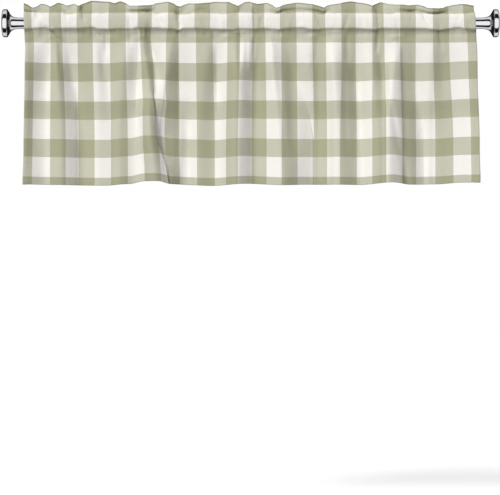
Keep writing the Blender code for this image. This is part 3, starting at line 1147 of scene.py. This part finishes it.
def weaveCotton():
    material, shader = newMaterial("checkedCotton")
    tree = material.node_tree
    cut = tree.nodes.new("ShaderNodeUVMap")
    cut.uv_map = "cutCloth"
    cutPlace = cut.outputs[0]
    split = tree.nodes.new("ShaderNodeSeparateXYZ")
    tree.links.new(cutPlace, split.inputs[0])
    across, down = split.outputs[0], split.outputs[1]

    def uneven(kind, detail=2.0):
        return noiseNode(tree, cutPlace, unevenness[kind], detail)

    sideways = cotton["wobble"] * mm
    wobble = mathNode(tree, "MULTIPLY_ADD", uneven("wobble"), sideways, -sideways / 2)
    warp = paleBand(tree, mathNode(tree, "ADD", across, wobble), 0)
    weft = paleBand(tree, mathNode(tree, "ADD", down, wobble), 1)
    both, either = mathNode(tree, "MULTIPLY", warp, weft), mathNode(tree, "MAXIMUM", warp, weft)
    check = mixNode(tree, "MIX", either, cotton["dyedDyed"], cotton["paleDyed"])
    check = mixNode(tree, "MIX", both, check, cotton["palePale"])

    # yarns over and under each other with painted shade between them, and each yarn's own thick and thin
    # places
    turns = math.pi / (cotton["yarnPitch"] * mm)
    ends = mathNode(tree, "SINE", mathNode(tree, "MULTIPLY", across, turns))
    picks = mathNode(tree, "SINE", mathNode(tree, "MULTIPLY", down, turns))
    over = mathNode(tree, "MULTIPLY", ends, picks)
    slub = mathNode(tree, "ADD", uneven("warpSlub"), uneven("weftSlub"))
    tone = mathNode(tree, "MULTIPLY_ADD", over, cotton["yarnGapShade"], 1.0 - cotton["yarnGapShade"])
    tone = mathNode(tree, "ADD", tone, mathNode(tree, "MULTIPLY_ADD", slub, *cotton["slubTone"]))
    fade = mathNode(tree, "MULTIPLY_ADD", uneven("fade", 3.0), *cotton["fadeTone"])
    tone = mathNode(tree, "ADD", tone, fade)

    # closely gathered at the pocket: painted shade makes it a little darker, and the gathers make its
    # bump more uneven
    heading = peakNode(tree, down, cotton["headingMiddle"], *cotton["headingPeak"])
    paintedShade = mathNode(tree, "MULTIPLY", heading, cotton["headingShade"])
    tone = mathNode(tree, "SUBTRACT", tone, paintedShade)
    # painted shade in patchy lines along the folds and seams
    for place, halfWidth, darkest, patches in paintedShadeLines:
        shadeLineMask = peakNode(tree, down, place, halfWidth, cotton["shadeLinePeak"])
        patch = noiseNode(tree, cutPlace, (patches, patches, 1.0))
        patch = mathNode(tree, "MULTIPLY_ADD", patch, *cotton["shadeLinePatches"])
        paintedShade = mathNode(tree, "MULTIPLY", mathNode(tree, "MULTIPLY", shadeLineMask, patch), darkest)
        tone = mathNode(tree, "SUBTRACT", tone, paintedShade)
    dyed = mixNode(tree, "MULTIPLY", 1.0, check, greyNode(tree, tone))
    tree.links.new(dyed, shader.inputs["Base Color"])

    thick, fuzzy = cotton["yarnHeights"]
    yarn = mathNode(tree, "MULTIPLY_ADD", slub, thick, mathNode(tree, "ABSOLUTE", over))
    yarn = mathNode(tree, "MULTIPLY_ADD", uneven("fuzz"), fuzzy, yarn)
    soft = bumpNode(tree, uneven("rumple", 3.0), *cotton["rumpleBump"])
    gathers = mathNode(tree, "MULTIPLY", uneven("gathers"), heading)
    soft = bumpNode(tree, gathers, *cotton["gatherBump"], soft)
    tree.links.new(bumpNode(tree, yarn, *cotton["yarnBump"], soft), shader.inputs["Normal"])
    shader.inputs["Roughness"].default_value = cotton["roughness"]
    shader.inputs["Specular IOR Level"].default_value = cotton["specular"]
    shader.inputs["Sheen Weight"].default_value = cotton["sheen"]
    shader.inputs["Sheen Roughness"].default_value = cotton["sheenRoughness"]
    return material


clothPiece = buildCloth()
clothPiece.data.materials.append(weaveCotton())
print("cloth laid:", len(clothPiece.data.polygons), "faces a side")

# sewing: a running row of lock stitches on each seam and hem
sewing = {
    "pitch": 3.4,
    "length": 2.7,
    "lengthSpread": (0.86, 1.08),
    "thread": 0.55,
    "sides": (6, 4),  # round a stitch, along it
    "proud": 0.1,  # of the cloth's face
    "sideInset": 11.5,  # of the side hems' seams, from the edges
    "endSkip": 2,  # columns of the cloth left unsewn at both ends of a seam
    "colour": (0.46, 0.455, 0.35, 1.0),
    "twistRepeats": 1800.0,  # a metre
    "twistTone": (0.3, 0.72),
    "wornRepeats": 14.0,
    "wornTone": 0.25,
    "twistBump": (0.4, 0.0001),
    "roughness": 0.6,
    "seed": 7,
}


def sewingTree(material):
    tree = bpy.data.node_groups.new("sewingRows", "GeometryNodeTree")
    tree.interface.new_socket("Rows", in_out="INPUT", socket_type="NodeSocketGeometry")
    for name in ("Pitch", "Length", "Thread"):
        tree.interface.new_socket(name, in_out="INPUT", socket_type="NodeSocketFloat")
    tree.interface.new_socket("Seed", in_out="INPUT", socket_type="NodeSocketInt")
    tree.interface.new_socket("Stitches", in_out="OUTPUT", socket_type="NodeSocketGeometry")
    nodes, links = tree.nodes, tree.links
    given, made = nodes.new("NodeGroupInput").outputs, nodes.new("NodeGroupOutput")
    curve = nodes.new("GeometryNodeMeshToCurve")
    spaced = nodes.new("GeometryNodeResampleCurve")
    spaced.mode = "LENGTH"
    links.new(given["Rows"], curve.inputs[0])
    links.new(curve.outputs[0], spaced.inputs["Curve"])
    links.new(given["Pitch"], spaced.inputs["Length"])
    stitch = nodes.new("GeometryNodeMeshUVSphere")
    stitch.inputs["Segments"].default_value, stitch.inputs["Rings"].default_value = sewing["sides"]
    stitch.inputs["Radius"].default_value = 0.5
    tangent = nodes.new("GeometryNodeInputTangent")
    facing = nodes.new("GeometryNodeInputNamedAttribute")
    facing.data_type = "FLOAT_VECTOR"
    facing.inputs["Name"].default_value = "facing"
    along = nodes.new("FunctionNodeAlignRotationToVector")
    along.axis = "X"
    links.new(tangent.outputs[0], along.inputs["Vector"])
    flat = nodes.new("FunctionNodeAlignRotationToVector")
    flat.axis = "Z"
    flat.pivot_axis = "X"
    links.new(along.outputs[0], flat.inputs["Rotation"])
    links.new(facing.outputs["Attribute"], flat.inputs["Vector"])
    uneven = nodes.new("FunctionNodeRandomValue")
    uneven.data_type = "FLOAT"
    uneven.inputs[2].default_value, uneven.inputs[3].default_value = sewing["lengthSpread"]
    links.new(given["Seed"], uneven.inputs["Seed"])
    reach = nodes.new("ShaderNodeMath")
    reach.operation = "MULTIPLY"
    links.new(given["Length"], reach.inputs[0])
    links.new(uneven.outputs[1], reach.inputs[1])
    size = nodes.new("ShaderNodeCombineXYZ")
    links.new(reach.outputs[0], size.inputs[0])
    links.new(given["Thread"], size.inputs[1])
    links.new(given["Thread"], size.inputs[2])
    placed = nodes.new("GeometryNodeInstanceOnPoints")
    links.new(spaced.outputs[0], placed.inputs["Points"])
    links.new(stitch.outputs["Mesh"], placed.inputs["Instance"])
    links.new(flat.outputs[0], placed.inputs["Rotation"])
    links.new(size.outputs[0], placed.inputs["Scale"])
    real = nodes.new("GeometryNodeRealizeInstances")
    links.new(placed.outputs[0], real.inputs[0])
    thread = nodes.new("GeometryNodeSetMaterial")
    thread.inputs["Material"].default_value = material
    links.new(real.outputs[0], thread.inputs["Geometry"])
    links.new(thread.outputs[0], made.inputs[0])
    return tree


def spinThread():
    material, shader = newMaterial("sewingThread")
    tree = material.node_tree
    place = tree.nodes.new("ShaderNodeTexCoord").outputs["Object"]
    twist = noiseNode(tree, place, (sewing["twistRepeats"],) * 3, 3.0)
    worn = noiseNode(tree, place, (sewing["wornRepeats"],) * 3)
    tone = mathNode(tree, "MULTIPLY_ADD", twist, *sewing["twistTone"])
    tone = mathNode(tree, "MULTIPLY_ADD", worn, sewing["wornTone"], tone)
    colour = mixNode(tree, "MULTIPLY", 1.0, sewing["colour"], greyNode(tree, tone))
    tree.links.new(colour, shader.inputs["Base Color"])
    tree.links.new(bumpNode(tree, twist, *sewing["twistBump"]), shader.inputs["Normal"])
    shader.inputs["Roughness"].default_value = sewing["roughness"]
    return material


def threadPath(rows, columns, thickness, side=1):  # on the cloth's outer face (1) or inner face (-1)
    facing = side * clothFacing[rows, columns]
    return clothPoints[rows, columns] + (thickness / 2 + sewing["proud"]) * mm * facing, facing


def sewSeams():
    sewn = slice(sewing["endSkip"], -sewing["endSkip"])
    seams = ("upperFront", "upperBack", "lowerFront", "lowerBack", "hem", "hemBack")
    paths = [threadPath(clothMarks[seam], sewn, valance["thickness"]) for seam in seams]
    sideRows = slice(clothMarks["hem"], clothMarks["panelTop"])
    for place in (sewing["sideInset"], lines[-1, 0] - sewing["sideInset"]):
        column = int(np.argmin(np.abs(columnFlat - place)))
        paths += [threadPath(sideRows, column, valance["hemThickness"], side) for side in (1, -1)]
    points, facings = (np.concatenate(part) for part in zip(*paths))
    edges, start = [], 0
    for length in [len(path[0]) for path in paths]:
        edges += [(i, i + 1) for i in range(start, start + length - 1)]
        start += length
    mesh = bpy.data.meshes.new("seamPaths")
    mesh.from_pydata(points.tolist(), edges, [])
    mesh.attributes.new("facing", "FLOAT_VECTOR", "POINT").data.foreach_set("vector", facings.ravel())
    seamPaths = linkObject("seamPaths", mesh)
    tree = sewingTree(spinThread())
    sockets = {item.name: item.identifier for item in tree.interface.items_tree if item.in_out == "INPUT"}
    sew = seamPaths.modifiers.new("sewing", "NODES")
    sew.node_group = tree
    for name in ("pitch", "length", "thread"):
        sew[sockets[name.capitalize()]] = sewing[name] * mm
    sew[sockets["Seed"]] = sewing["seed"]
    seamPaths.update_tag()
    ready = seamPaths.evaluated_get(bpy.context.evaluated_depsgraph_get())
    stitches = bpy.data.meshes.new_from_object(ready)
    stitches.name = "valanceStitches"
    bpy.data.objects.remove(seamPaths)
    stitches.shade_smooth()
    return linkObject("valanceStitches", stitches)


stitchPiece = sewSeams()
print("seams sewn:", len(stitchPiece.data.polygons), "faces")

# polished rod and turned finials
finials = {
    "nodes": ("finial_left", "finial_right"),
    "sleeveEnd": 66.7,  # from the outer face
    "sleeveRadius": 14.3,
    "sleeveEdge": 0.3,
    "boreRadius": 13.0,
    "boreFloor": 51.9,  # from the outer face
    "turns": 96,
    "smoothing": 5,  # steps between two points of the outline
    "sharpFrom": 50.0,  # degrees between faces
}

# distance from the outer face, radius
finialOutline = (
    (0.0, 0.0),
    (0.2, 14.0),
    (0.6, 24.0),
    (1.4, 30.5),
    (2.6, 33.6),
    (4.2, 35.1),
    (6.4, 35.5),
    (12.0, 35.5),
    (14.0, 35.0),
    (15.2, 33.4),
    (15.6, 31.4),
    (16.4, 30.9),
    (17.2, 30.6),
    (18.8, 27.4),
    (21.3, 22.8),
    (24.0, 19.9),
    (27.5, 17.6),
    (31.5, 16.0),
    (36.0, 15.0),
    (42.0, 14.3),
)


def turnFinial(name, node):
    low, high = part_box(node)
    side = 1.0 if high.x > 0 else -1.0
    face = max(abs(low.x), abs(high.x)) / mm
    outline = [(x, max(0.0, r)) for x, r in easedLine(finialOutline, finials["smoothing"]).tolist()]
    sleeveEnd, sleeveRadius = finials["sleeveEnd"], finials["sleeveRadius"]
    outline += [
        (sleeveEnd - finials["sleeveEdge"], sleeveRadius),
        (sleeveEnd, sleeveRadius - finials["sleeveEdge"]),
        (sleeveEnd, finials["boreRadius"]),
        (finials["boreFloor"], finials["boreRadius"]),
        (finials["boreFloor"], 0.0),
    ]
    turns = finials["turns"]
    points, rings, faces = [], [], []
    for x, r in outline:
        out = side * (face - x) * mm
        if r > 0:
            rings.append([len(points) + i for i in range(turns)])
            angles = [2 * math.pi * i / turns for i in range(turns)]
            points += [(out, -side * r * mm * math.sin(a), r * mm * math.cos(a)) for a in angles]
        else:  # on the axis the whole ring is one point
            rings.append([len(points)] * turns)
            points.append((out, 0.0, 0.0))
    for near, far in zip(rings, rings[1:]):
        for i in range(turns):
            faces.append(list(dict.fromkeys((near[i - 1], far[i - 1], far[i], near[i]))))
    mesh = bpy.data.meshes.new(name)
    mesh.from_pydata(points, [], faces)
    mesh.shade_smooth()
    mesh.set_sharp_from_angle(angle=math.radians(finials["sharpFrom"]))
    return linkObject(name, mesh)


# bright chrome, handled a little and turned in rings, the finials with painted shade in a groove behind
# the button
polish = {
    "rodColour": (0.80, 0.805, 0.82),
    "finialColour": (0.84, 0.845, 0.86),
    "handledRepeats": 70.0,  # a metre
    "handledDetail": (4.0, 0.6),
    "turnedRepeats": (2600.0, 30.0, 30.0),
    "roughness": 0.015,
    "handledRoughness": 0.10,
    "turnedRoughness": 0.05,
    "tone": (0.06, 0.97),
    "grooveInset": 17.0,  # from the outer face
    "groovePeak": (3.2, 2.0),  # half width and peak, as peakNode takes them
    "grooveShadeStrength": 0.93,
    "turnedBump": (0.03, 0.0001),
}


def polishMetal(name, colour, groove=None):  # groove: how far out along the rod a groove of painted shade runs
    material, shader = newMaterial(name)
    tree = material.node_tree
    place = tree.nodes.new("ShaderNodeTexCoord").outputs["Object"]
    handled = noiseNode(tree, place, (polish["handledRepeats"],) * 3, *polish["handledDetail"])
    turned = noiseNode(tree, place, polish["turnedRepeats"])
    shine = mathNode(tree, "MULTIPLY_ADD", handled, polish["handledRoughness"], polish["roughness"])
    shine = mathNode(tree, "MULTIPLY_ADD", turned, polish["turnedRoughness"], shine)
    tree.links.new(shine, shader.inputs["Roughness"])
    bright = mathNode(tree, "MULTIPLY_ADD", handled, *polish["tone"])
    if groove:
        # painted shade darkens the finial's groove
        split = tree.nodes.new("ShaderNodeSeparateXYZ")
        tree.links.new(place, split.inputs[0])
        outward = mathNode(tree, "ABSOLUTE", split.outputs[0])
        grooveShade = peakNode(tree, outward, groove, *polish["groovePeak"])
        grooveShade = mathNode(tree, "MULTIPLY_ADD", grooveShade, -polish["grooveShadeStrength"], 1.0)
        bright = mathNode(tree, "MULTIPLY", bright, grooveShade)
    tint = tree.nodes.new("ShaderNodeCombineColor")
    for socket, value in zip(tint.inputs, colour):
        tree.links.new(mathNode(tree, "MULTIPLY", bright, value), socket)
    tree.links.new(tint.outputs[0], shader.inputs["Base Color"])
    tree.links.new(bumpNode(tree, turned, *polish["turnedBump"]), shader.inputs["Normal"])
    shader.inputs["Metallic"].default_value = 1.0
    return material


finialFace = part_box("finial_right")[1].x / mm
finialMetal = polishMetal("polishedFinial", polish["finialColour"], finialFace - polish["grooveInset"])
rodMetal = polishMetal("polishedRod", polish["rodColour"])
for node in finials["nodes"]:
    turned = turnFinial("turned_" + node, node)
    turned.data.materials.append(finialMetal)
    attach(turned, "root")
    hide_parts(node)
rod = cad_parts["rod"]
rod.data.materials.clear()
rod.data.materials.append(rodMetal)
print("finials turned")

for piece in (clothPiece, stitchPiece):
    piece.visible_glossy = False
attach(clothPiece, "root")
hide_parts("valance")
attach(stitchPiece, "root")

print("all pieces placed")
